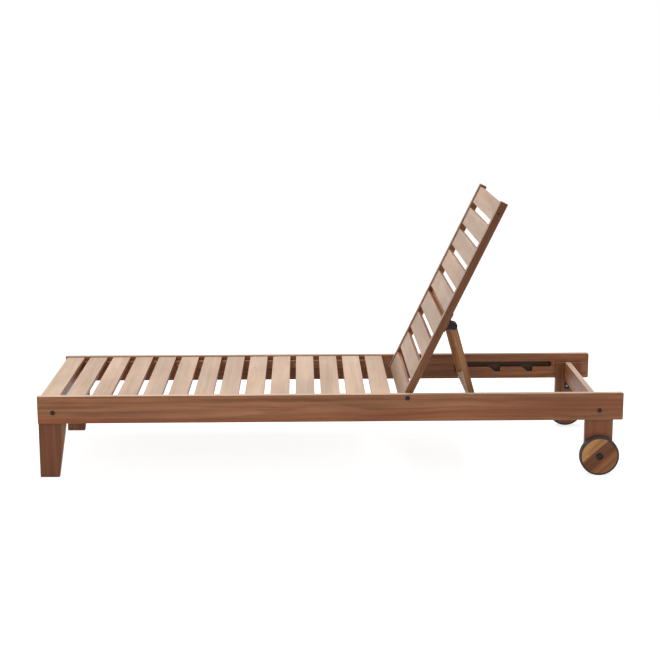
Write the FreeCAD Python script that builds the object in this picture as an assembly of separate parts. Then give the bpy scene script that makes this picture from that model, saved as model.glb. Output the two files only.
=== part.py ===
import FreeCAD, Part
import math
import os

# Slatted wooden sun lounger with a notched, adjustable back and two wheels at the head end.
# Origin: on the floor, under the middle. +X to the head end, +Z up, the lying person's left is -Y.
# Sizes are in millimetres.

# Frame
rail_length = 2000.0
frame_width = 640.0
deck_height = 288.0
rail_height = 95.0
rail_thickness = 22.0
rail_corner_radius = 5.0
board_round = 1.5

# Seat slats
slat_width = 65.5
slat_thickness = 14.0
slat_recess = 3.0
slat_round = 1.5
seat_slat_pitch = 87.0
first_slat_setback = 8.0
seat_back_gap = 12.0
slat_end_gap = 1.0
ledger_thickness = 18.0
ledger_height = 30.0
ledger_leg_gap = 3.0
ledger_overhang = 5.0

# Cross rails and legs
cross_thickness = 21.0
foot_cross_height = 70.0
foot_cross_setback = 52.0
head_cross_height = 72.0
head_cross_drop = 31.0
head_cross_setback = 81.5
leg_thickness = 22.0
lap_depth = 11.0
foot_leg_top_width = 95.0
foot_leg_bottom_width = 65.0
wheel_leg_width = 96.0
wheel_leg_top_drop = 33.0
wheel_leg_foot_drop = 34.0

# Wheels
wheel_setback = 79.0
wheel_diameter = 136.0
tyre_thickness = 6.0
wheel_thickness = 24.0
wheel_side_gap = 0.3
wheel_spacer_thickness = 3.7
wheel_spacer_radius = 11.0
wheel_edge_round = 1.5
hub_recess_radius = 12.5
hub_recess_depth = 8.0
bush_wall = 3.0
bush_flange_radius = 11.5
bush_flange_thickness = 1.5
axle_radius = 5.0
running_clearance = 0.05
axle_head_radius = 8.5
axle_head_height = 5.5
axle_head_round = 1.8
axle_tip_proud = 3.0
axle_nut_across = 17.0
axle_nut_height = 8.0

# Frame bolts with barrel nuts
bolt_radius = 4.0
bolt_hole_clearance = 0.1
bolt_head_radius = 8.0
bolt_head_height = 2.4
bolt_head_round = 1.2
bolt_socket_across = 5.0
bolt_socket_depth = 1.6
bolt_reach = 44.0
barrel_nut_radius = 6.0
barrel_nut_length = 15.0
foot_bolt_drop = 57.0
head_bolt_drop = 61.0

# Corner brackets under the head cross rail
corner_arm = 33.0
corner_width = 16.0
corner_plate = 2.5
corner_bend_radius = 3.0
corner_screw_along = 21.0
corner_screw_bite = 14.0
corner_offset = -1.5

# Wood screws
screw_radius = 2.0
screw_head_radius = 4.0
screw_head_height = 2.5
ledger_screw_bite = 12.0
ledger_screw_count = 5
slat_screw_bite = 7.0

# Back
pivot_setback = 740.0
pivot_drop = 13.5
back_angle = 64.2
stile_length = 776.0
stile_tail = 40.0
stile_width = 25.0
stile_depth = 26.5
stile_side_gap = 2.5
back_slat_pitch = 87.2
back_slat_recess = 4.0
back_top_margin = 8.0
back_foot_margin = 4.0
pivot_insert_radius = 6.5
pivot_insert_length = 13.0
pivot_insert_floor = 1.0
pivot_tip_gap = 1.0
pivot_side_gap = 0.3
pivot_spacer_radius = 9.0
dowel_radius = 4.0
dowel_bite = 11.0
batten_thickness = 16.0
batten_width = 70.0
batten_offset = 6.0
batten_dowel_spread = 35.0
batten_dowel_radius = 3.0
stile_screw_bite = 26.0

# Prop
hinge_along = 281.3
hinge_behind = 43.5
prop_side_gap = 28.0
prop_leg_width = 25.0
prop_leg_thickness = 21.4
prop_bar_height = 24.0
prop_bar_round = 3.0
prop_bar_shoulder = 11.5
spigot_radius = 9.0
spigot_end_gap = 1.0
tenon_length = 14.0
tenon_thickness = 9.0
tenon_width = 15.0
hinge_pin_radius = 4.0
hinge_pin_head_radius = 6.5
hinge_pin_head_height = 2.0
bracket_plate = 3.0
bracket_side_gap = 0.5
bracket_eye_radius = 13.0
bracket_base_length = 33.0
bracket_base_shift = -8.5
bracket_screw_spread = 17.0
bracket_screw_cover = 3.0

# Groove and notches for the prop bar, in the inner faces of the rails, placed ahead of the pivot
groove_depth = 12.0
slot_drop = 29.5
slot_height = 20.0
slot_foot_ahead = 224.0
slot_head_ahead = 597.5
notch_depth = 18.2
notch_floor_length = 19.5
notch_ramp_length = 22.0
notch_walls_ahead = [248.0, 400.0, 524.0]

# Largest error when an edge is picked by its place
tolerance = 0.01

# Derived places
foot_x = -rail_length / 2
head_x = rail_length / 2
rail_outer = frame_width / 2
rail_inner = rail_outer - rail_thickness
rail_bottom = deck_height - rail_height
slat_top = deck_height - slat_recess
slat_bottom = slat_top - slat_thickness
leg_outer = rail_outer - lap_depth
leg_inner = leg_outer - leg_thickness
foot_cross_x = foot_x + foot_cross_setback
head_cross_x = head_x - head_cross_setback
foot_bolt_z = deck_height - foot_bolt_drop
head_bolt_z = deck_height - head_bolt_drop
pivot_x = head_x - pivot_setback
pivot_z = deck_height - pivot_drop
ledger_start = foot_x + foot_leg_top_width + ledger_leg_gap
seat_length = pivot_x - stile_tail - seat_back_gap - foot_x - first_slat_setback
seat_slat_count = int((seat_length - slat_width) // seat_slat_pitch) + 1
last_slat_end = foot_x + first_slat_setback + (seat_slat_count - 1) * seat_slat_pitch + slat_width
ledger_end = last_slat_end + ledger_overhang
ledger_bottom = slat_bottom - ledger_height
ledger_screw_z = slat_bottom - ledger_height / 2
head_cross_top = deck_height - head_cross_drop
head_cross_bottom = head_cross_top - head_cross_height
wheel_x = head_x - wheel_setback
wheel_z = wheel_diameter / 2
wheel_inner = leg_outer + wheel_spacer_thickness + wheel_side_gap
wheel_outer = wheel_inner + wheel_thickness
stile_outer = rail_inner - stile_side_gap
stile_inner = stile_outer - stile_width
stile_top = stile_length - stile_tail
back_slat_room = stile_length - back_top_margin - back_foot_margin - slat_width
back_slat_count = int(back_slat_room // back_slat_pitch) + 1
slot_foot_x = pivot_x + slot_foot_ahead
slot_head_x = pivot_x + slot_head_ahead
notch_wall_xs = [pivot_x + ahead for ahead in notch_walls_ahead]
slot_top = deck_height - slot_drop
slot_floor = slot_top - slot_height
slot_middle = slot_top - slot_height / 2
notch_floor = slot_floor - notch_depth
back_front = stile_depth / 2
slat_front = back_front - back_slat_recess
slat_back = slat_front - slat_thickness
batten_back = slat_back - batten_thickness
batten_middle = hinge_along + batten_offset
bracket_middle = hinge_along + bracket_base_shift
hinge_height = -hinge_behind
prop_y = stile_inner - prop_side_gap - prop_leg_width / 2
spigot_end = rail_inner - spigot_end_gap
bar_x = notch_wall_xs[0] - spigot_radius
bar_z = notch_floor + spigot_radius

recline = math.radians(back_angle)
hinge_x = pivot_x + hinge_along * math.cos(recline) + hinge_behind * math.sin(recline)
hinge_z = pivot_z + hinge_along * math.sin(recline) - hinge_behind * math.cos(recline)
prop_length = math.hypot(bar_x - hinge_x, bar_z - hinge_z)
prop_dip = math.degrees(math.atan2(hinge_z - bar_z, bar_x - hinge_x))

left, right = -1, 1
sides = {"left": left, "right": right}
axis_y = FreeCAD.Vector(0, 1, 0)
axis_z = FreeCAD.Vector(0, 0, 1)
os.makedirs("parts", exist_ok=True)


def vector(x, y, z):
    return FreeCAD.Vector(x, y, z)


def save(name, solids):
    """Write one sub-part: a single solid, or a group of separate ones."""
    pieces = solids if isinstance(solids, list) else [solids]
    shape = pieces[0] if len(pieces) == 1 else Part.makeCompound(pieces)
    shape.exportStep("parts/" + name + ".step")
    print(name, len(shape.Solids), "solid(s)", round(shape.Volume / 1000, 1), "cm3")


def block(x_range, y_range, z_range):
    low = vector(min(x_range), min(y_range), min(z_range))
    high = vector(max(x_range), max(y_range), max(z_range))
    size = high - low
    return Part.makeBox(size.x, size.y, size.z, low)


def rod(start, end, radius):
    along = end - start
    return Part.makeCylinder(radius, along.Length, start, along)


def eased(shape, radius):
    """Break every edge of a plain board with a small round."""
    return shape.makeFillet(radius, shape.Edges)


def board(x_range, y_range, z_range, radius=board_round):
    return eased(block(x_range, y_range, z_range), radius)


def plate_xz(points, y_range):
    """A flat board cut to an outline in the XZ plane."""
    corners = [vector(x, min(y_range), z) for x, z in points]
    face = Part.Face(Part.makePolygon(corners + corners[:1]))
    return face.extrude(vector(0, max(y_range) - min(y_range), 0))


def prism(center, across_flats, height, direction):
    """A hexagonal prism that starts at center and runs along direction."""
    radius = across_flats / math.sqrt(3)
    turns = [math.radians(60 * step) for step in range(7)]
    points = [vector(radius * math.cos(t), radius * math.sin(t), 0) for t in turns]
    hexagon = Part.Face(Part.makePolygon(points)).extrude(vector(0, 0, height))
    hexagon.Placement = FreeCAD.Placement(center, FreeCAD.Rotation(axis_z, direction))
    return hexagon


def countersunk_screw(seat, direction, length):
    """A wood screw: seat is the middle of its flat head, direction is where its tip points."""
    head = Part.makeCone(screw_head_radius, screw_radius, screw_head_height, seat, direction)
    return head.fuse(Part.makeCylinder(screw_radius, length, seat, direction)).removeSplitter()


def in_back(shape):
    """Turn a piece from the flat back, whose pivot is the origin, to the raised back."""
    shape.rotate(vector(0, 0, 0), axis_y, -back_angle)
    shape.translate(vector(pivot_x, 0, pivot_z))
    return shape


def in_prop(shape):
    """Turn a piece from a prop that lies along +X from its hinge pin to the standing prop."""
    shape.rotate(vector(0, 0, 0), axis_y, prop_dip)
    shape.translate(vector(hinge_x, 0, hinge_z))
    return shape


# Frame

def groove(side):
    """Blind slot with three saw teeth: a ramp on the foot side and a wall on the head side.

    The first ramp stops at the slot's foot end.
    """
    depth = (side * rail_inner, side * (rail_inner + groove_depth))
    end_radius = slot_height / 2
    centers = (slot_foot_x + end_radius, slot_head_x - end_radius)
    cut = block(centers, depth, (slot_floor, slot_top))
    for x in centers:
        cut = cut.fuse(rod(vector(x, depth[0], slot_middle), vector(x, depth[1], slot_middle), end_radius))
    for wall_x in notch_wall_xs:
        floor_x = wall_x - notch_floor_length
        ramp_x = max(floor_x - notch_ramp_length, slot_foot_x)
        tooth = [(wall_x, slot_middle), (wall_x, notch_floor), (floor_x, notch_floor),
                 (ramp_x, slot_floor), (ramp_x, slot_middle)]
        cut = cut.fuse(plate_xz(tooth, depth))
    return cut.removeSplitter()


def cross_hole(x, z, radius, y_range):
    """A cylinder across the lounger, for a hole or an eye."""
    return rod(vector(x, min(y_range), z), vector(x, max(y_range), z), radius)


def side_rail(side):
    width = (side * rail_inner, side * rail_outer)
    rail = block((foot_x, head_x), width, (rail_bottom, deck_height))
    head_corners = [e for e in rail.Edges
                    if e.BoundBox.XMin > head_x - tolerance and e.BoundBox.YLength > tolerance]
    rail = rail.makeFillet(rail_corner_radius, head_corners)
    long_edges = [e for e in rail.Edges if e.BoundBox.YLength < tolerance]
    rail = rail.makeFillet(board_round, long_edges)
    for x, z in frame_bolt_places() + [(pivot_x, pivot_z)]:
        rail = rail.cut(cross_hole(x, z, bolt_radius + bolt_hole_clearance, width))
    rail = rail.cut(groove(side))
    for x in ledger_screw_xs():
        start = vector(x, side * rail_inner, ledger_screw_z)
        rail = rail.cut(Part.makeCylinder(screw_radius, ledger_screw_bite, start, axis_y * side))
    return rail


def ledger_screw_xs():
    span = ledger_end - ledger_start
    return [ledger_start + span * (step + 0.5) / ledger_screw_count for step in range(ledger_screw_count)]


def slat_center_xs():
    first = foot_x + first_slat_setback + slat_width / 2
    return [first + step * seat_slat_pitch for step in range(seat_slat_count)]


def slat_screws():
    """Screws driven up through the ledgers into every slat that rests on them."""
    height = ledger_height + slat_screw_bite
    y = rail_inner - ledger_thickness / 2
    return [countersunk_screw(vector(x, side * y, ledger_bottom), axis_z, height)
            for side in (left, right) for x in slat_center_xs()[1:]]


def ledger_screws():
    face = rail_inner - ledger_thickness
    length = ledger_thickness + ledger_screw_bite
    return [countersunk_screw(vector(x, side * face, ledger_screw_z), axis_y * side, length)
            for side in (left, right) for x in ledger_screw_xs()]


def seat_ledger(side):
    width = (side * (rail_inner - ledger_thickness), side * rail_inner)
    ledger = board((ledger_start, ledger_end), width, (ledger_bottom, slat_bottom))
    for screw in slat_screws() + ledger_screws():
        if screw.CenterOfGravity.y * side > 0:
            ledger = ledger.cut(screw)
    return ledger


def seat_slat(number):
    x = slat_center_xs()[number - 1]
    reach = rail_inner - slat_end_gap
    slat = board((x - slat_width / 2, x + slat_width / 2), (-reach, reach), (slat_bottom, slat_top),
                 slat_round)
    for screw in slat_screws():
        if abs(screw.CenterOfGravity.x - x) < slat_width / 2:
            slat = slat.cut(screw)
    return slat


def frame_bolt_places():
    """X and Z of the bolts that hold rail, leg and cross rail together."""
    return [(foot_cross_x, foot_bolt_z), (head_cross_x, head_bolt_z)]


def edges_at(shape, distance):
    """The edges that lie in the upright plane at this distance from the middle plane."""
    return [e for e in shape.Edges
            if e.BoundBox.YLength < tolerance and abs(abs(e.CenterOfGravity.y) - distance) < tolerance]


def bolt(x, z, side, head_face, length):
    """A bolt with a flat round head and a hexagon socket, driven in from the outside."""
    inward = axis_y * -side
    seat = vector(x, side * head_face, z)
    shank = Part.makeCylinder(bolt_radius, length, seat, inward)
    head = Part.makeCylinder(bolt_head_radius, bolt_head_height, seat, axis_y * side)
    head = head.makeFillet(bolt_head_round, edges_at(head, head_face + bolt_head_height))
    socket_mouth = vector(x, side * (head_face + bolt_head_height), z)
    return shank.fuse(head).removeSplitter().cut(
        prism(socket_mouth, bolt_socket_across, bolt_socket_depth, inward))


def frame_bolts():
    length = rail_thickness + (rail_inner - leg_inner) + bolt_reach
    return [bolt(x, z, side, rail_outer, length) for side in (left, right) for x, z in frame_bolt_places()]


def barrel_nut_y():
    return leg_inner - bolt_reach + barrel_nut_radius


def barrel_nuts():
    nuts = []
    for side in (left, right):
        for x, z in frame_bolt_places():
            y = side * barrel_nut_y()
            half = barrel_nut_length / 2
            nut = rod(vector(x - half, y, z), vector(x + half, y, z), barrel_nut_radius)
            bore = cross_hole(x, z, bolt_radius, (y - barrel_nut_radius, y + barrel_nut_radius))
            nuts.append(nut.cut(bore))
    return nuts


def cross_rail(x, z_range, bolt_z):
    """A board between the legs, with a bolt hole and a barrel nut pocket at each end."""
    half = cross_thickness / 2
    rail = board((x - half, x + half), (-leg_inner, leg_inner), z_range)
    bore = bolt_radius + bolt_hole_clearance
    for side in (left, right):
        end = vector(x, side * leg_inner, bolt_z)
        rail = rail.cut(rod(end, vector(x, side * (leg_inner - bolt_reach), bolt_z), bore))
        y = side * barrel_nut_y()
        pocket = rod(vector(x - barrel_nut_length / 2, y, bolt_z), vector(x + half, y, bolt_z),
                     barrel_nut_radius)
        rail = rail.cut(pocket)
    return rail


def head_cross_rail():
    rail = cross_rail(head_cross_x, (head_cross_bottom, head_cross_top), head_bolt_z)
    for side in (left, right):
        for screw in corner_screws(side):
            rail = rail.cut(screw)
    return rail


def lap(leg, side):
    """Cut the outer half of a leg away above the rail's bottom edge, where the rail laps it."""
    return leg.cut(block((foot_x, head_x), (side * rail_inner, side * rail_outer),
                         (rail_bottom, deck_height)))


def foot_leg(side):
    """A leg whose inner edge tapers below the rail."""
    outline = [(foot_x, 0), (foot_x + foot_leg_bottom_width, 0),
               (foot_x + foot_leg_top_width, rail_bottom), (foot_x + foot_leg_top_width, slat_bottom),
               (foot_x, slat_bottom)]
    width = (side * leg_inner, side * leg_outer)
    leg = lap(eased(plate_xz(outline, width), board_round), side)
    return leg.cut(cross_hole(foot_cross_x, foot_bolt_z, bolt_radius + bolt_hole_clearance, width))


def wheel_leg(side):
    """A straight leg that carries the axle bolt near its lower end."""
    half = wheel_leg_width / 2
    width = (side * leg_inner, side * leg_outer)
    leg = board((wheel_x - half, wheel_x + half), width,
                (wheel_z - wheel_leg_foot_drop, deck_height - wheel_leg_top_drop))
    leg = lap(leg, side)
    leg = leg.cut(cross_hole(head_cross_x, head_bolt_z, bolt_radius + bolt_hole_clearance, width))
    for screw in corner_screws(side):
        leg = leg.cut(screw)
    return leg.cut(cross_hole(wheel_x, wheel_z, axle_radius, width))


def corner_screws(side):
    """One screw into the wheel leg and one up into the head cross rail."""
    x = head_cross_x + corner_offset
    length = corner_plate + corner_screw_bite
    leg_seat = vector(x, side * (leg_inner - corner_plate), head_cross_bottom - corner_screw_along)
    rail_seat = vector(x, side * (leg_inner - corner_screw_along), head_cross_bottom - corner_plate)
    return [countersunk_screw(leg_seat, axis_y * side, length), countersunk_screw(rail_seat, axis_z, length)]


def corner_bracket(side):
    """A bent steel angle in the corner between a wheel leg and the head cross rail."""
    x = head_cross_x + corner_offset
    width = (x - corner_width / 2, x + corner_width / 2)
    depth = (side * leg_inner, side * (leg_inner - corner_arm))
    height = (head_cross_bottom - corner_arm, head_cross_bottom)
    inner_depth = (side * (leg_inner - corner_plate), side * (leg_inner - corner_arm))
    inner_height = (head_cross_bottom - corner_arm, head_cross_bottom - corner_plate)
    angle = block(width, depth, height).cut(block(width, inner_depth, inner_height))
    bend = [e for e in angle.Edges if e.BoundBox.YLength < tolerance and e.BoundBox.ZLength < tolerance
            and abs(abs(e.CenterOfGravity.y) - leg_inner + corner_plate) < tolerance
            and abs(e.CenterOfGravity.z - head_cross_bottom + corner_plate) < tolerance]
    angle = angle.makeFillet(corner_bend_radius, bend)
    for screw in corner_screws(side):
        angle = angle.cut(screw)
    return angle


# Wheels

def hub_face():
    """Distance from the middle plane to the floor of the recess around the hub."""
    return wheel_outer - hub_recess_depth


def wheel_ring(inner_radius, outer_radius, near, far, side):
    """A ring about the axle, between two distances from the middle plane."""
    center = vector(wheel_x, side * near, wheel_z)
    outer = Part.makeCylinder(outer_radius, far - near, center, axis_y * side)
    return outer.cut(Part.makeCylinder(inner_radius, far - near, center, axis_y * side))


def wheel_disc(side):
    bush_radius = axle_radius + running_clearance + bush_wall
    rim_radius = wheel_diameter / 2 - tyre_thickness
    disc = wheel_ring(bush_radius, rim_radius, wheel_inner, wheel_outer, side)
    rim_edges = [e for e in edges_at(disc, wheel_inner) + edges_at(disc, wheel_outer)
                 if e.BoundBox.XLength > rim_radius]
    disc = disc.makeFillet(wheel_edge_round, rim_edges)
    mouth = vector(wheel_x, side * wheel_outer, wheel_z)
    return disc.cut(Part.makeCylinder(hub_recess_radius, hub_recess_depth, mouth, axis_y * -side))


def tyre(side):
    """A band with rounded shoulders, stretched over the wheel's rim."""
    outer = wheel_diameter / 2
    inner = outer - tyre_thickness
    band = wheel_ring(inner, outer, wheel_inner, wheel_outer, side)
    shoulders = [e for e in edges_at(band, wheel_inner) + edges_at(band, wheel_outer)
                 if e.BoundBox.XLength > inner + outer]
    return band.makeFillet(tyre_thickness / 2, shoulders)


def hub_bush(side):
    """A flanged plastic bush, pressed in from the outside."""
    bore = axle_radius + running_clearance
    barrel = wheel_ring(bore, bore + bush_wall, wheel_inner, hub_face(), side)
    flange = wheel_ring(bore, bush_flange_radius, hub_face(), hub_face() + bush_flange_thickness, side)
    return barrel.fuse(flange).removeSplitter()


def axle_bolt(side):
    head_seat = hub_face() + bush_flange_thickness + wheel_side_gap
    tip = leg_inner - axle_nut_height - axle_tip_proud
    end = vector(wheel_x, side * tip, wheel_z)
    seat = vector(wheel_x, side * head_seat, wheel_z)
    shank = Part.makeCylinder(axle_radius, head_seat - tip, end, axis_y * side)
    head = Part.makeCylinder(axle_head_radius, axle_head_height, seat, axis_y * side)
    head = head.makeFillet(axle_head_round, edges_at(head, head_seat + axle_head_height))
    return shank.fuse(head).removeSplitter()


def axle_nut(side):
    seat = vector(wheel_x, side * leg_inner, wheel_z)
    nut = prism(seat, axle_nut_across, axle_nut_height, axis_y * -side)
    return nut.cut(Part.makeCylinder(axle_radius, axle_nut_height, seat, axis_y * -side))


def axle_spacer(side):
    return wheel_ring(axle_radius, wheel_spacer_radius, leg_outer, leg_outer + wheel_spacer_thickness, side)


# Back, built lying flat with the pivot at the origin

def back_slat_middles():
    """Distances of the slats' middle lines from the pivot, counted from the top."""
    first = stile_top - back_top_margin - slat_width / 2
    return [first - step * back_slat_pitch for step in range(back_slat_count)]


def dowel(along, height, side, radius):
    """A dowel across the joint between a stile and the end of a slat or of the batten."""
    start = vector(along, side * (stile_inner - dowel_bite), height)
    end = vector(along, side * (stile_inner + dowel_bite), height)
    return rod(start, end, radius)


def slat_dowels():
    """One dowel in each end of every back slat but the top one, which is screwed."""
    height = (slat_front + slat_back) / 2
    return [dowel(along, height, side, dowel_radius)
            for side in (left, right) for along in back_slat_middles()[1:]]


def batten_dowels():
    """Two thinner dowels in each end of the batten, between its front and the stile's back."""
    half = batten_dowel_spread / 2
    height = (slat_back - back_front) / 2
    return [dowel(batten_middle + shift, height, side, batten_dowel_radius)
            for side in (left, right) for shift in (-half, half)]


def top_slat_screws():
    """Screws driven through the stiles from their outer faces."""
    along = back_slat_middles()[0]
    height = (slat_front + slat_back) / 2
    length = stile_width + stile_screw_bite
    return [countersunk_screw(vector(along, side * stile_outer, height), axis_y * -side, length)
            for side in (left, right)]


def back_stile(side):
    width = (side * stile_inner, side * stile_outer)
    stile = board((-stile_tail, stile_top), width, (-back_front, back_front))
    for piece in slat_dowels() + batten_dowels() + top_slat_screws():
        if piece.CenterOfGravity.y * side > 0:
            stile = stile.cut(piece)
    mouth = vector(0, side * stile_outer, 0)
    return stile.cut(Part.makeCylinder(pivot_insert_radius, pivot_insert_length, mouth, axis_y * -side))


def back_slat(number):
    along = back_slat_middles()[number - 1]
    slat = board((along - slat_width / 2, along + slat_width / 2), (-stile_inner, stile_inner),
                 (slat_back, slat_front), slat_round)
    for piece in slat_dowels() + top_slat_screws():
        if abs(piece.CenterOfGravity.x - along) < slat_width / 2:
            slat = slat.cut(piece)
    return slat


def hinge_batten():
    """The cross board behind the slats that carries the prop's brackets."""
    half = batten_width / 2
    batten = board((batten_middle - half, batten_middle + half), (-stile_inner, stile_inner),
                   (batten_back, slat_back))
    for piece in batten_dowels() + bracket_screws():
        batten = batten.cut(piece)
    return batten


def pivot_insert(side):
    start = vector(0, side * (stile_outer - pivot_insert_length), 0)
    sleeve = Part.makeCylinder(pivot_insert_radius, pivot_insert_length, start, axis_y * side)
    depth = pivot_insert_length - pivot_insert_floor
    mouth = vector(0, side * stile_outer, 0)
    return sleeve.cut(Part.makeCylinder(bolt_radius + running_clearance, depth, mouth, axis_y * -side))


def pivot_bolt(side):
    tip = stile_outer - pivot_insert_length + pivot_insert_floor + pivot_tip_gap
    return bolt(pivot_x, pivot_z, side, rail_outer, rail_outer - tip)


def pivot_spacer(side):
    """A washer in the gap between the rail and the stile."""
    center = vector(pivot_x, side * rail_inner, pivot_z)
    thickness = stile_side_gap - pivot_side_gap
    washer = Part.makeCylinder(pivot_spacer_radius, thickness, center, axis_y * -side)
    return washer.cut(Part.makeCylinder(bolt_radius, thickness, center, axis_y * -side))


def bracket_screws():
    """Two screws for each bracket, driven into the batten from behind."""
    seat = batten_back - bracket_plate
    length = bracket_plate + batten_thickness - bracket_screw_cover
    half = bracket_screw_spread / 2
    return [countersunk_screw(vector(bracket_middle + shift, side * prop_y, seat), axis_z, length)
            for side in (left, right) for shift in (-half, half)]


def hinge_bracket(side):
    """A folded steel fork: a base on the batten and two cheeks that hold the hinge pin."""
    inside = prop_leg_width / 2 + bracket_side_gap
    outside = inside + bracket_plate
    middle = side * prop_y
    half = bracket_base_length / 2
    fork = block((bracket_middle - half, bracket_middle + half), (middle - outside, middle + outside),
                 (batten_back - bracket_plate, batten_back))
    outline = [(bracket_middle - half, batten_back), (bracket_middle + half, batten_back),
               (hinge_along + bracket_eye_radius, hinge_height),
               (hinge_along - bracket_eye_radius, hinge_height)]
    for low in (middle - outside, middle + inside):
        width = (low, low + bracket_plate)
        eye = cross_hole(hinge_along, hinge_height, bracket_eye_radius, width)
        fork = fork.fuse(plate_xz(outline, width)).fuse(eye)
    pin_hole = cross_hole(hinge_along, hinge_height, hinge_pin_radius, (middle - outside, middle + outside))
    fork = fork.cut(pin_hole)
    for screw in bracket_screws():
        fork = fork.cut(screw)
    return fork.removeSplitter()


def hinge_pin(side):
    """A riveted pin with a flat head on each side of the fork."""
    reach = prop_leg_width / 2 + bracket_side_gap + bracket_plate
    middle = side * prop_y
    low = vector(hinge_along, middle - reach, hinge_height)
    high = vector(hinge_along, middle + reach, hinge_height)
    pin = rod(low, high, hinge_pin_radius)
    for end, outward in ((low, axis_y * -1), (high, axis_y)):
        pin = pin.fuse(Part.makeCylinder(hinge_pin_head_radius, hinge_pin_head_height, end, outward))
    return pin.removeSplitter()


# Prop, built lying along +X with its hinge pin at the origin

def prop_leg(side):
    half = prop_leg_thickness / 2
    width = (side * prop_y - prop_leg_width / 2, side * prop_y + prop_leg_width / 2)
    shoulder = prop_length - prop_bar_height / 2
    shaft = block((0, shoulder), width, (-half, half))
    leg = shaft.fuse(cross_hole(0, 0, half, width)).removeSplitter()
    long_edges = [e for e in leg.Edges if e.BoundBox.XLength > half and e.BoundBox.YLength < tolerance
                  and e.BoundBox.ZLength < tolerance]
    leg = leg.makeFillet(board_round, long_edges)
    tenon = block((shoulder, shoulder + tenon_length),
                  (side * prop_y - tenon_width / 2, side * prop_y + tenon_width / 2),
                  (-tenon_thickness / 2, tenon_thickness / 2))
    leg = leg.fuse(tenon)
    bore = hinge_pin_radius + running_clearance
    return leg.cut(cross_hole(0, 0, bore, width))


def prop_bar():
    """A bar as thick as the legs, with round spigots that ride in the rails' grooves."""
    half = prop_bar_height / 2
    half_thickness = prop_leg_thickness / 2
    body_end = prop_y + prop_leg_width / 2 + prop_bar_shoulder
    bar = board((prop_length - half, prop_length + half), (-body_end, body_end),
                (-half_thickness, half_thickness), prop_bar_round)
    for side in (left, right):
        start = vector(prop_length, side * body_end, 0)
        spigot = Part.makeCylinder(spigot_radius, spigot_end - body_end, start, axis_y * side)
        bar = bar.fuse(spigot.makeFillet(board_round, edges_at(spigot, spigot_end)))
        mortise = block((prop_length - half, prop_length - half + tenon_length),
                        (side * prop_y - tenon_width / 2, side * prop_y + tenon_width / 2),
                        (-tenon_thickness / 2, tenon_thickness / 2))
        bar = bar.cut(mortise)
    return bar


for name, side in sides.items():
    save("side_rail_" + name, side_rail(side))
    save("seat_ledger_" + name, seat_ledger(side))
    save("foot_leg_" + name, foot_leg(side))
    save("wheel_leg_" + name, wheel_leg(side))
    save("wheel_disc_" + name, wheel_disc(side))
    save("wheel_tyre_" + name, tyre(side))
    save("hub_bush_" + name, hub_bush(side))
    save("back_stile_" + name, in_back(back_stile(side)))
    save("prop_leg_" + name, in_prop(prop_leg(side)))

for number in range(1, seat_slat_count + 1):
    save("seat_slat_%02d" % number, seat_slat(number))
for number in range(1, back_slat_count + 1):
    save("back_slat_%02d" % number, in_back(back_slat(number)))

save("foot_cross_rail", cross_rail(foot_cross_x, (slat_bottom - foot_cross_height, slat_bottom),
                                   foot_bolt_z))
save("head_cross_rail", head_cross_rail())
save("back_hinge_batten", in_back(hinge_batten()))
save("prop_bar", in_prop(prop_bar()))

save("frame_bolts", frame_bolts())
save("frame_barrel_nuts", barrel_nuts())
save("seat_slat_screws", slat_screws())
save("corner_brackets", [corner_bracket(side) for side in (left, right)])
save("frame_screws", ledger_screws() + corner_screws(left) + corner_screws(right))
save("pivot_bolts", [pivot_bolt(side) for side in (left, right)])
save("pivot_spacers", [pivot_spacer(side) for side in (left, right)])
save("axle_bolts", [axle_bolt(side) for side in (left, right)])
save("axle_lock_nuts", [axle_nut(side) for side in (left, right)])
save("axle_spacers", [axle_spacer(side) for side in (left, right)])
save("pivot_inserts", [in_back(pivot_insert(side)) for side in (left, right)])
save("back_slat_dowels", [in_back(piece) for piece in slat_dowels() + batten_dowels()])
save("back_screws", [in_back(screw) for screw in top_slat_screws() + bracket_screws()])
save("prop_brackets", [in_back(hinge_bracket(side)) for side in (left, right)])
save("prop_hinge_pins", [in_back(hinge_pin(side)) for side in (left, right)])

print("hinge pin at", round(hinge_x, 2), round(hinge_z, 2), "prop length", round(prop_length, 2),
      "prop dip", round(prop_dip, 2))
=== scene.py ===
import math
import random

import bpy
from mathutils import Matrix, Vector


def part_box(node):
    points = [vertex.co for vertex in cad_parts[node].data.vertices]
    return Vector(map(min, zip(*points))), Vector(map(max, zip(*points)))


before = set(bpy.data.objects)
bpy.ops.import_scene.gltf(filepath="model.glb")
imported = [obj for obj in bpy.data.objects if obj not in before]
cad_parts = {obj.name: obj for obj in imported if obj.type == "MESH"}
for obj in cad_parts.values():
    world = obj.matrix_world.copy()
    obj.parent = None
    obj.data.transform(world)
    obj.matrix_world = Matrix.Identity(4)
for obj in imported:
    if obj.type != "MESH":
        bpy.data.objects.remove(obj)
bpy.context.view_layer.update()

# Camera: place in metres, angles in degrees, focal length in pixels of the 660-pixel frame
CAMERA_PLACE = (-0.0964, -5.0969, 1.4995)
CAMERA_YAW = 1.106
CAMERA_PITCH = 11.662
CAMERA_ROLL = -0.112
FOCAL_PIXELS = 1446.9
FRAME_PIXELS = 660.0
SENSOR = 36.0

# Light
DOME_STRENGTH = 0.55
OVERHEAD_POWER = 115.0
FILL_POWER = 22.0
FLOOR_GLOW = 0.75
FLOOR_SIZE = 60.0
FLOOR_COLOUR = (0.5, 0.5, 0.5, 1.0)
WHITE = (1.0, 1.0, 1.0, 1.0)

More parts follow.
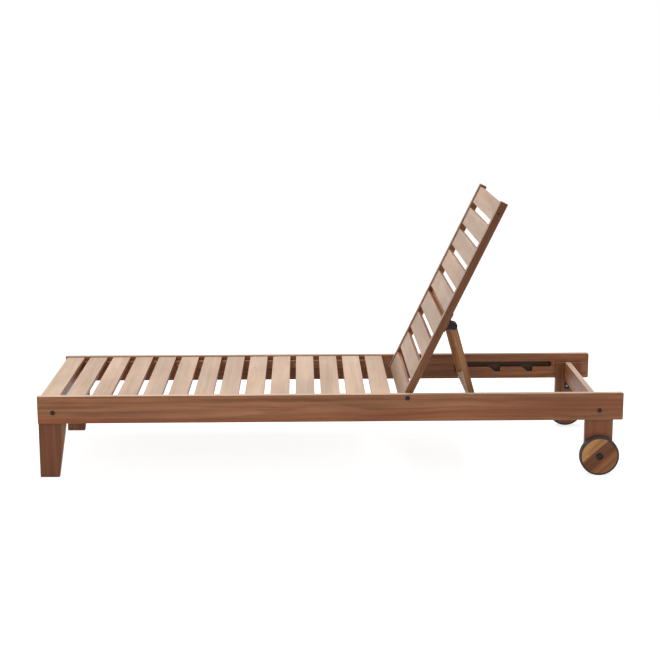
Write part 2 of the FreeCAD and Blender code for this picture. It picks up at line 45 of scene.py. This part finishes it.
# Wood colours, as linear values: the timber's own colours, and paler copies for faces turned up or forward,
# which paint top light and sheen on them
PALE = (0.44, 0.187, 0.079, 1.0)
BROWN = (0.27, 0.097, 0.036, 1.0)
RED = (0.33, 0.095, 0.036, 1.0)
TOP_LIT_PALE = (0.53, 0.375, 0.265, 1.0)
TOP_LIT_BROWN = (0.48, 0.325, 0.225, 1.0)
TOP_LIT_RED = (0.49, 0.318, 0.220, 1.0)
DARK_FIGURE = (0.10, 0.042, 0.020, 1.0)
# Colour of the painted shade in gaps and corners
PAINTED_SHADE_COLOUR = (0.045, 0.020, 0.010, 1.0)
NO_TINT = (1.0, 1.0, 1.0)
HONEY_TINT = (1.10, 1.30, 1.30)
GREY_TINT = (1.02, 1.05, 1.18)

# Figure of the wood: changes in a metre along the grain, and twice across it
SWAY_SCALE = (2.4, 4.0, 4.0)
RING_SCALE = (0.32, 6.0, 6.0)
STREAK_SCALE = (1.1, 75.0, 75.0)
FIBRE_SCALE = (14.0, 620.0, 620.0)
PORE_SCALE = (60.0, 1500.0, 1500.0)
HUE_SCALE = (0.7, 16.0, 16.0)
PATCH_SCALE = (1.6, 9.0, 9.0)
SWAY_REACH = 0.030
RINGS = 16.0
RING_DEPTH = 0.38
FIBRE_DEPTH = 0.35
PORE_DEPTH = 0.5
HUE_DEPTH = 0.75
# How much figure is left on the faces with painted top light and sheen
TOP_LIT_FIGURE = 0.12

# Finish of the wood and painted shade: how strongly worn edges and the painted shade in gaps show, and their
# reach in metres
WEAR_DEPTH = 0.30
WEAR_WIDTH = 0.0015
PAINTED_SHADE_DEPTH = 0.55
PAINTED_SHADE_REACH = 0.02
WOOD_SPECULAR = 0.25
WOOD_RELIEF = 0.0004

# Colours of the metal, rubber and plastic, as pairs that are mixed
BLACK_PAINT = (0.008, 0.007, 0.006, 1.0)
WORN_PAINT = (0.16, 0.14, 0.12, 1.0)
ZINC = (0.26, 0.26, 0.25, 1.0)
DULL_ZINC = (0.17, 0.17, 0.16, 1.0)
RUBBER = (0.022, 0.021, 0.020, 1.0)
DUSTY_RUBBER = (0.055, 0.050, 0.045, 1.0)
PLASTIC = (0.020, 0.020, 0.021, 1.0)
WORN_PLASTIC = (0.030, 0.030, 0.031, 1.0)
PAINT_SPECULAR = 0.30
PAINT_WEAR = 0.45

# Painted shade inside the rails' grooves: between these heights and distances from the middle, in metres
GROOVE_HEIGHTS = (0.2198, 0.2590)
GROOVE_DISTANCES = (0.2984, 0.3104)
GROOVE_SHADE_COLOUR = (0.030, 0.012, 0.006, 1.0)
GROOVE_SHADE_DEPTH = 0.85

# Staves of a wheel, from its lower right rim to its upper left one: where each starts, and its tone
WHEEL_STAVES = ((0.0, (1.30, 1.38, 1.30)), (0.36, (0.68, 0.64, 0.62)), (0.66, (1.70, 1.95, 1.70)))

# Directions of the grain
LENGTHWISE = Vector((1, 0, 0))
ACROSS = Vector((0, 1, 0))
UPRIGHT = Vector((0, 0, 1))
WHEEL_GRAIN = Vector((1, 0, 0.9))


# Small helpers for node trees

def node(tree, kind, inputs=None, **settings):
    """Add a node, set its options, and fill or link its inputs."""
    made = tree.nodes.new(kind)
    for name, value in settings.items():
        setattr(made, name, value)
    for name, value in (inputs or {}).items():
        if isinstance(value, bpy.types.NodeSocket):
            tree.links.new(value, made.inputs[name])
        else:
            made.inputs[name].default_value = value
    return made


def math_node(tree, operation, first, second=0.0):
    return node(tree, "ShaderNodeMath", {0: first, 1: second}, operation=operation).outputs[0]


def mix_colour(tree, factor, first, second, blend="MIX"):
    inputs = {0: factor, 6: first, 7: second}
    return node(tree, "ShaderNodeMix", inputs, data_type="RGBA", blend_type=blend).outputs[2]


def map_range(tree, value, low, high, to_low=0.0, to_high=1.0):
    inputs = {"Value": value, "From Min": low, "From Max": high, "To Min": to_low, "To Max": to_high}
    return node(tree, "ShaderNodeMapRange", inputs, interpolation_type="SMOOTHSTEP").outputs[0]


def stretched_noise(tree, vector, scale, detail=3.0, roughness=0.5):
    """Noise on coordinates that are stretched by their own scale along each axis."""
    mapping = node(tree, "ShaderNodeMapping", {"Vector": vector, "Scale": scale})
    inputs = {"Vector": mapping.outputs[0], "Scale": 1.0, "Detail": detail, "Roughness": roughness}
    return node(tree, "ShaderNodeTexNoise", inputs).outputs["Fac"]


def new_group(name, inputs, outputs):
    """An empty shader group with named sockets: each is (name, kind, default)."""
    group = bpy.data.node_groups.new(name, "ShaderNodeTree")
    for direction, sockets in (("INPUT", inputs), ("OUTPUT", outputs)):
        for socket_name, kind, default in sockets:
            socket = group.interface.new_socket(socket_name, in_out=direction,
                                                socket_type="NodeSocket" + kind)
            if default is not None:
                socket.default_value = default
    entry = group.nodes.new("NodeGroupInput")
    leave = group.nodes.new("NodeGroupOutput")
    return group, entry, leave


def use_group(tree, group, inputs):
    return node(tree, "ShaderNodeGroup", inputs, node_tree=group)


# Shared effects

def make_grain():
    """Straight-grained hardwood: the grain runs along X of the vector it is given, in metres."""
    group, entry, leave = new_group(
        "straight grain",
        [("Vector", "Vector", None), ("Pale", "Color", PALE), ("Brown", "Color", BROWN),
         ("Red", "Color", RED), ("Figure", "Float", 1.0), ("Tone", "Float", 1.0)],
        [("Colour", "Color", None), ("Roughness", "Float", None), ("Height", "Float", None)])
    figure = entry.outputs["Figure"]
    straight = entry.outputs["Vector"]
    sway = math_node(group, "MULTIPLY", stretched_noise(group, straight, SWAY_SCALE, 2.0), SWAY_REACH)
    shift = node(group, "ShaderNodeCombineXYZ", {1: sway, 2: sway}).outputs[0]
    vector = node(group, "ShaderNodeVectorMath", {0: straight, 1: shift}, operation="ADD").outputs[0]
    drift = stretched_noise(group, vector, RING_SCALE, 2.0)
    rings = math_node(group, "FRACT", math_node(group, "MULTIPLY", drift, RINGS))
    late_wood = math_node(group, "MULTIPLY", map_range(group, rings, 0.35, 0.92),
                          map_range(group, rings, 1.0, 0.93))
    streaks = stretched_noise(group, vector, STREAK_SCALE, 4.0, 0.6)
    fibres = stretched_noise(group, vector, FIBRE_SCALE, 3.0, 0.6)
    pores = map_range(group, stretched_noise(group, vector, PORE_SCALE, 1.0), 0.62, 0.72)
    hue = map_range(group, stretched_noise(group, vector, HUE_SCALE, 2.0), 0.45, 0.70)
    patches = map_range(group, stretched_noise(group, vector, PATCH_SCALE), 0.35, 0.65, 0.84, 1.07)

    colour = mix_colour(group, map_range(group, streaks, 0.34, 0.68), entry.outputs["Pale"],
                        entry.outputs["Brown"])
    colour = mix_colour(group, math_node(group, "MULTIPLY", hue, HUE_DEPTH), colour, entry.outputs["Red"])
    dark_fibres = map_range(group, fibres, 0.45, 0.75)
    for mask, depth in ((late_wood, RING_DEPTH), (dark_fibres, FIBRE_DEPTH), (pores, PORE_DEPTH)):
        shade = math_node(group, "MULTIPLY", math_node(group, "MULTIPLY", mask, depth), figure)
        colour = mix_colour(group, shade, colour, DARK_FIGURE)
    level = math_node(group, "MULTIPLY", patches, entry.outputs["Tone"])
    tone = node(group, "ShaderNodeCombineColor", {0: level, 1: level, 2: level}).outputs[0]
    colour = mix_colour(group, 1.0, colour, tone, "MULTIPLY")
    roughness = math_node(group, "ADD", math_node(group, "MULTIPLY", streaks, 0.16), 0.36)
    height = math_node(group, "SUBTRACT", math_node(group, "MULTIPLY", fibres, 0.5),
                       math_node(group, "MULTIPLY", pores, 0.6))
    height = math_node(group, "SUBTRACT", height, math_node(group, "MULTIPLY", late_wood, 0.12))
    group.links.new(colour, leave.inputs["Colour"])
    group.links.new(roughness, leave.inputs["Roughness"])
    group.links.new(height, leave.inputs["Height"])
    return group


def make_edge_wear():
    """A mask that is 1 on an edge or corner and 0 on a flat face."""
    group, entry, leave = new_group("edge wear", [("Width", "Float", 0.002), ("Vector", "Vector", None)],
                                    [("Mask", "Float", None)])
    rounded = node(group, "ShaderNodeBevel", {"Radius": entry.outputs["Width"]}, samples=4).outputs[0]
    plain = node(group, "ShaderNodeNewGeometry").outputs["Normal"]
    agreement = node(group, "ShaderNodeVectorMath", {0: rounded, 1: plain}, operation="DOT_PRODUCT")
    edge = map_range(group, agreement.outputs["Value"], 0.99, 0.80)
    patchy = stretched_noise(group, entry.outputs["Vector"], (40.0, 40.0, 40.0), 3.0)
    mask = math_node(group, "MULTIPLY", edge, map_range(group, patchy, 0.25, 0.6))
    group.links.new(mask, leave.inputs["Mask"])
    return group


def make_painted_top_light():
    """A mask that is 1 on faces that look along Direction, where top light and sheen are painted in as paler
    colour.
    """
    group, entry, leave = new_group("painted top light and sheen", [("Direction", "Vector", None), ("Vector", "Vector", None)],
                                    [("Mask", "Float", None)])
    facing = node(group, "ShaderNodeTexCoord").outputs["Normal"]
    agreement = node(group, "ShaderNodeVectorMath", {0: facing, 1: entry.outputs["Direction"]},
                     operation="DOT_PRODUCT")
    looks_up = map_range(group, agreement.outputs["Value"], 0.45, 0.90)
    patchy = stretched_noise(group, entry.outputs["Vector"], (5.0, 5.0, 5.0), 3.0)
    mask = math_node(group, "MULTIPLY", looks_up, map_range(group, patchy, 0.2, 0.6, 0.82, 1.0))
    group.links.new(mask, leave.inputs["Mask"])
    return group


def make_painted_shade():
    """A mask that is 1 deep in gaps, grooves and corners, from ambient occlusion: painted shade where less
    light reaches.
    """
    group, entry, leave = new_group("painted_shade_mask", [("Reach", "Float", 0.02)], [("Mask", "Float", None)])
    open_sky = node(group, "ShaderNodeAmbientOcclusion", {"Distance": entry.outputs["Reach"]}, samples=4)
    group.links.new(map_range(group, open_sky.outputs["AO"], 0.75, 0.25), leave.inputs["Mask"])
    return group


GRAIN = make_grain()
EDGE_WEAR = make_edge_wear()
PAINTED_TOP_LIGHT = make_painted_top_light()
PAINTED_SHADE = make_painted_shade()


# Places and directions, read from the frame

def middle(name):
    low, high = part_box(name)
    return (Vector(low) + Vector(high)) / 2


def back_direction():
    pivot = middle("pivot_bolts")
    top = middle("back_slat_01")
    return Vector((top.x - pivot.x, 0, top.z - pivot.z))


def prop_direction():
    pin = middle("prop_hinge_pins")
    bar = middle("prop_bar")
    return Vector((bar.x - pin.x, 0, bar.z - pin.z))


def back_front():
    """The direction that the front of the raised back looks in."""
    along = back_direction().normalized()
    return Vector((-along.z, 0, along.x))


# Materials

def blank_material(name):
    material = bpy.data.materials.new(name)
    material.use_nodes = True
    tree = material.node_tree
    shader = tree.nodes["Principled BSDF"]
    place = node(tree, "ShaderNodeTexCoord").outputs["Object"]
    return material, tree, shader, place


def bump(tree, shader, height, distance, strength):
    inputs = {"Height": height, "Distance": distance, "Strength": strength}
    tree.links.new(node(tree, "ShaderNodeBump", inputs).outputs[0], shader.inputs["Normal"])


def tinted(colour, tint):
    return (colour[0] * tint[0], colour[1] * tint[1], colour[2] * tint[2], 1.0)


def between(tree, value, limits):
    above = math_node(tree, "GREATER_THAN", value, limits[0])
    return math_node(tree, "MULTIPLY", above, math_node(tree, "LESS_THAN", value, limits[1]))


def groove_shade_mask(tree, place):
    """1 on the walls and floor of a rail's groove, where shade is painted."""
    split = node(tree, "ShaderNodeSeparateXYZ", {0: place})
    distance = math_node(tree, "ABSOLUTE", split.outputs["Y"])
    return math_node(tree, "MULTIPLY", between(tree, distance, GROOVE_DISTANCES),
                     between(tree, split.outputs["Z"], GROOVE_HEIGHTS))


def stave_tones(tree, place, centre, radius):
    """The tones of the wheel's three staves, as bands that run with its grain."""
    across = Vector((-WHEEL_GRAIN.z, 0, WHEEL_GRAIN.x)).normalized()
    offset = node(tree, "ShaderNodeVectorMath", {0: place, 1: centre}, operation="SUBTRACT").outputs[0]
    reach = node(tree, "ShaderNodeVectorMath", {0: offset, 1: across}, operation="DOT_PRODUCT")
    inputs = {"Value": reach.outputs["Value"], "From Min": -radius, "From Max": radius}
    position = node(tree, "ShaderNodeMapRange", inputs)
    ramp = node(tree, "ShaderNodeValToRGB", {"Fac": position.outputs[0]})
    ramp.color_ramp.interpolation = "CONSTANT"
    points = ramp.color_ramp.elements
    points.new(0.5)
    for point, (start, tone) in zip(points, WHEEL_STAVES):
        point.position = start
        point.color = (*tone, 1.0)
    return ramp.outputs["Color"]


def timber(name, along, tone=1.0, lit_side=None, lit_side_tone=1.0, tint=NO_TINT, figure=1.0, special=None):
    """Oiled hardwood for one board: its grain runs along the given direction in its own piece of the log.

    Faces that look along the given light direction get paler colours, which paint top light and sheen on
    them, and every board gets painted shade in its gaps and corners. A special board is a rail with painted
    shade in its groove, or a wheel's staves.
    """
    material, tree, shader, place = blank_material(name)
    chance = random.Random(name)
    turn = along.normalized().rotation_difference(LENGTHWISE)
    offset = [chance.uniform(-20, 20) for _ in range(3)]
    mapping = node(tree, "ShaderNodeMapping",
                   {"Vector": place, "Rotation": turn.to_euler(), "Location": offset})
    own_tone = tone * chance.uniform(0.93, 1.06)
    inputs = {"Vector": mapping.outputs[0], "Pale": tinted(PALE, tint), "Brown": tinted(BROWN, tint),
              "Red": tinted(RED, tint), "Tone": own_tone, "Figure": figure}
    # Faces turned to the light get paler colours and less figure: painted top light and sheen.
    if lit_side is not None:
        painted_light_mask = use_group(tree, PAINTED_TOP_LIGHT, {"Direction": lit_side, "Vector": place}).outputs[0]
        for key, lit_colour in (("Pale", TOP_LIT_PALE), ("Brown", TOP_LIT_BROWN), ("Red", TOP_LIT_RED)):
            inputs[key] = mix_colour(tree, painted_light_mask, inputs[key], lit_colour)
        inputs["Figure"] = map_range(tree, painted_light_mask, 0.0, 1.0, figure, TOP_LIT_FIGURE)
        own_lit_side_tone = lit_side_tone * chance.uniform(0.95, 1.04)
        inputs["Tone"] = map_range(tree, painted_light_mask, 0.0, 1.0, own_tone, own_lit_side_tone)
    grain = use_group(tree, GRAIN, inputs)
    wear = use_group(tree, EDGE_WEAR, {"Width": WEAR_WIDTH, "Vector": place}).outputs[0]
    # Darker towards gaps and corners, from ambient occlusion: painted shade.
    painted_shade_mask = use_group(tree, PAINTED_SHADE, {"Reach": PAINTED_SHADE_REACH}).outputs[0]
    colour = mix_colour(tree, math_node(tree, "MULTIPLY", wear, WEAR_DEPTH), grain.outputs["Colour"], PALE)
    colour = mix_colour(tree, math_node(tree, "MULTIPLY", painted_shade_mask, PAINTED_SHADE_DEPTH), colour, PAINTED_SHADE_COLOUR)
    # Darker inside a rail's groove: painted shade.
    if special == "groove":
        groove = math_node(tree, "MULTIPLY", groove_shade_mask(tree, place), GROOVE_SHADE_DEPTH)
        colour = mix_colour(tree, groove, colour, GROOVE_SHADE_COLOUR)
    if special == "staves":
        centre = middle(name.split(" ")[0])
        colour = mix_colour(tree, 1.0, colour, stave_tones(tree, place, centre, centre.z), "MULTIPLY")
    tree.links.new(colour, shader.inputs["Base Color"])
    tree.links.new(grain.outputs["Roughness"], shader.inputs["Roughness"])
    shader.inputs["Specular IOR Level"].default_value = WOOD_SPECULAR
    bump(tree, shader, grain.outputs["Height"], WOOD_RELIEF, 0.5)
    return material


def black_paint(name):
    material, tree, shader, place = blank_material(name)
    mottle = stretched_noise(tree, place, (300.0, 300.0, 300.0), 4.0)
    wear = use_group(tree, EDGE_WEAR, {"Width": 0.0008, "Vector": place}).outputs[0]
    colour = mix_colour(tree, math_node(tree, "MULTIPLY", wear, PAINT_WEAR), BLACK_PAINT, WORN_PAINT)
    tree.links.new(colour, shader.inputs["Base Color"])
    tree.links.new(map_range(tree, mottle, 0.3, 0.7, 0.40, 0.58), shader.inputs["Roughness"])
    shader.inputs["Specular IOR Level"].default_value = PAINT_SPECULAR
    bump(tree, shader, mottle, 0.0001, 0.5)
    return material


def zinc(name):
    material, tree, shader, place = blank_material(name)
    spangle = stretched_noise(tree, place, (500.0, 500.0, 500.0), 3.0)
    colour = mix_colour(tree, spangle, ZINC, DULL_ZINC)
    tree.links.new(colour, shader.inputs["Base Color"])
    shader.inputs["Metallic"].default_value = 1.0
    tree.links.new(map_range(tree, spangle, 0.3, 0.7, 0.28, 0.45), shader.inputs["Roughness"])
    bump(tree, shader, spangle, 0.00005, 0.5)
    return material


def rubber(name):
    material, tree, shader, place = blank_material(name)
    dust = stretched_noise(tree, place, (60.0, 60.0, 60.0), 5.0)
    fine = stretched_noise(tree, place, (900.0, 900.0, 900.0), 2.0)
    colour = mix_colour(tree, map_range(tree, dust, 0.45, 0.75), RUBBER, DUSTY_RUBBER)
    tree.links.new(colour, shader.inputs["Base Color"])
    tree.links.new(map_range(tree, fine, 0.3, 0.7, 0.55, 0.75), shader.inputs["Roughness"])
    bump(tree, shader, fine, 0.0002, 0.6)
    return material


def plastic(name):
    material, tree, shader, place = blank_material(name)
    fine = stretched_noise(tree, place, (700.0, 700.0, 700.0), 2.0)
    colour = mix_colour(tree, fine, PLASTIC, WORN_PLASTIC)
    tree.links.new(colour, shader.inputs["Base Color"])
    tree.links.new(map_range(tree, fine, 0.3, 0.7, 0.40, 0.52), shader.inputs["Roughness"])
    bump(tree, shader, fine, 0.0001, 0.4)
    return material


# Dressing of the solids

def paint(name, material):
    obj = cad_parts[name]
    obj.data.materials.clear()
    obj.data.materials.append(material)


def dress_wood():
    # Boards given a light direction get paler colours on those faces: painted top light and sheen. The right
    # rail gets a darker copy of that painted light on its top.
    boards = {
        "side_rail_left": dict(along=LENGTHWISE, lit_side=UPRIGHT, figure=0.6, tint=GREY_TINT,
                               special="groove"),
        "side_rail_right": dict(along=LENGTHWISE, lit_side=UPRIGHT, lit_side_tone=0.60, figure=0.6,
                                tint=GREY_TINT, special="groove"),
        "seat_ledger_": dict(along=LENGTHWISE, tone=0.8),
        "seat_slat_": dict(along=ACROSS, tone=0.9, lit_side=UPRIGHT, lit_side_tone=0.84),
        "back_slat_": dict(along=ACROSS, tone=0.9, lit_side=back_front(), lit_side_tone=0.78),
        "foot_cross_rail": dict(along=ACROSS, tone=0.85, lit_side=UPRIGHT),
        "head_cross_rail": dict(along=ACROSS, lit_side=UPRIGHT),
        "back_hinge_batten": dict(along=ACROSS, tone=0.85),
        "foot_leg_": dict(along=UPRIGHT, tone=0.62, figure=0.5, tint=GREY_TINT),
        "wheel_leg_": dict(along=UPRIGHT, tone=0.82, figure=0.6, tint=GREY_TINT),
        "back_stile_": dict(along=back_direction(), tone=0.60, lit_side=back_front(), lit_side_tone=0.55,
                            figure=0.7),
        "prop_leg_": dict(along=prop_direction(), tone=1.15, tint=HONEY_TINT, figure=0.8),
        "prop_bar": dict(along=ACROSS, lit_side=UPRIGHT, tint=HONEY_TINT),
        "wheel_disc_": dict(along=WHEEL_GRAIN, tone=0.95, figure=0.9, special="staves"),
    }
    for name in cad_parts:
        for prefix, choices in boards.items():
            if name.startswith(prefix) and "screws" not in name and "dowels" not in name:
                paint(name, timber(name + " timber", **choices))


def dress_hardware():
    black = black_paint("black painted steel")
    bright = zinc("zinc plated steel")
    for name in ("frame_bolts", "pivot_bolts", "axle_bolts", "axle_lock_nuts", "axle_spacers",
                 "prop_brackets", "corner_brackets", "prop_hinge_pins", "back_screws"):
        paint(name, black)
    for name in ("frame_barrel_nuts", "seat_slat_screws", "frame_screws", "pivot_inserts", "pivot_spacers"):
        paint(name, bright)
    tyre = rubber("tyre rubber")
    bush = plastic("bush plastic")
    for side in ("left", "right"):
        paint("wheel_tyre_" + side, tyre)
        paint("hub_bush_" + side, bush)
    paint("back_slat_dowels", timber("dowel timber", ACROSS))


dress_wood()
dress_hardware()


# Studio

def seen_directly(tree):
    """1 for what the camera, a mirror or glass sees, and 0 for light that falls on the object."""
    path = node(tree, "ShaderNodeLightPath")
    seen = math_node(tree, "MAXIMUM", path.outputs["Is Camera Ray"], path.outputs["Is Glossy Ray"])
    return math_node(tree, "MAXIMUM", seen, path.outputs["Is Transmission Ray"])


def make_world():
    world = bpy.data.worlds.new("studio")
    world.use_nodes = True
    tree = world.node_tree
    background = tree.nodes["Background"]
    background.inputs["Color"].default_value = WHITE
    strength = node(tree, "ShaderNodeMapRange", {"Value": seen_directly(tree), "To Min": DOME_STRENGTH,
                                                 "To Max": 1.0})
    tree.links.new(strength.outputs[0], background.inputs["Strength"])
    bpy.context.scene.world = world


def make_floor():
    bpy.ops.object.select_all(action="DESELECT")
    bpy.ops.mesh.primitive_plane_add(size=FLOOR_SIZE)
    floor = bpy.context.object
    floor.name = "studio_floor"
    material, tree, shader, _ = blank_material("pale floor")
    shader.inputs["Base Color"].default_value = FLOOR_COLOUR
    shader.inputs["Roughness"].default_value = 0.9
    shader.inputs["Specular IOR Level"].default_value = 0.0
    glow = node(tree, "ShaderNodeEmission", {"Color": WHITE})
    strength = math_node(tree, "MULTIPLY", seen_directly(tree), FLOOR_GLOW)
    tree.links.new(strength, glow.inputs["Strength"])
    total = node(tree, "ShaderNodeAddShader", {0: shader.outputs[0], 1: glow.outputs[0]})
    tree.links.new(total.outputs[0], tree.nodes["Material Output"].inputs["Surface"])
    floor.data.materials.append(material)


def softbox(name, place, target, size, power):
    lamp = bpy.data.lights.new(name, "AREA")
    lamp.shape = "RECTANGLE"
    lamp.size, lamp.size_y = size
    lamp.energy = power
    holder = bpy.data.objects.new(name, lamp)
    holder.location = place
    holder.rotation_euler = (Vector(target) - Vector(place)).to_track_quat("-Z", "Y").to_euler()
    bpy.context.scene.collection.objects.link(holder)


def make_camera():
    data = bpy.data.cameras.new("camera")
    data.sensor_width = SENSOR
    data.lens = SENSOR * FOCAL_PIXELS / FRAME_PIXELS
    data.clip_end = 200.0
    camera = bpy.data.objects.new("camera", data)
    camera.location = CAMERA_PLACE
    heading = Matrix.Rotation(math.radians(-CAMERA_YAW), 3, "Z")
    tilt = Matrix.Rotation(math.radians(90 - CAMERA_PITCH), 3, "X")
    roll = Matrix.Rotation(math.radians(CAMERA_ROLL), 3, "Z")
    camera.rotation_euler = (heading @ tilt @ roll).to_euler()
    bpy.context.scene.collection.objects.link(camera)
    bpy.context.scene.camera = camera


make_world()
make_floor()
softbox("overhead softbox", (-0.3, 0.4, 3.2), (0.0, 0.0, 0.0), (3.6, 2.4), OVERHEAD_POWER)
softbox("front softbox", (-1.6, -4.2, 2.4), (0.0, 0.0, 0.2), (2.6, 1.8), FILL_POWER)
make_camera()
bpy.context.scene.view_settings.view_transform = "Standard"

bpy.context.view_layer.update()
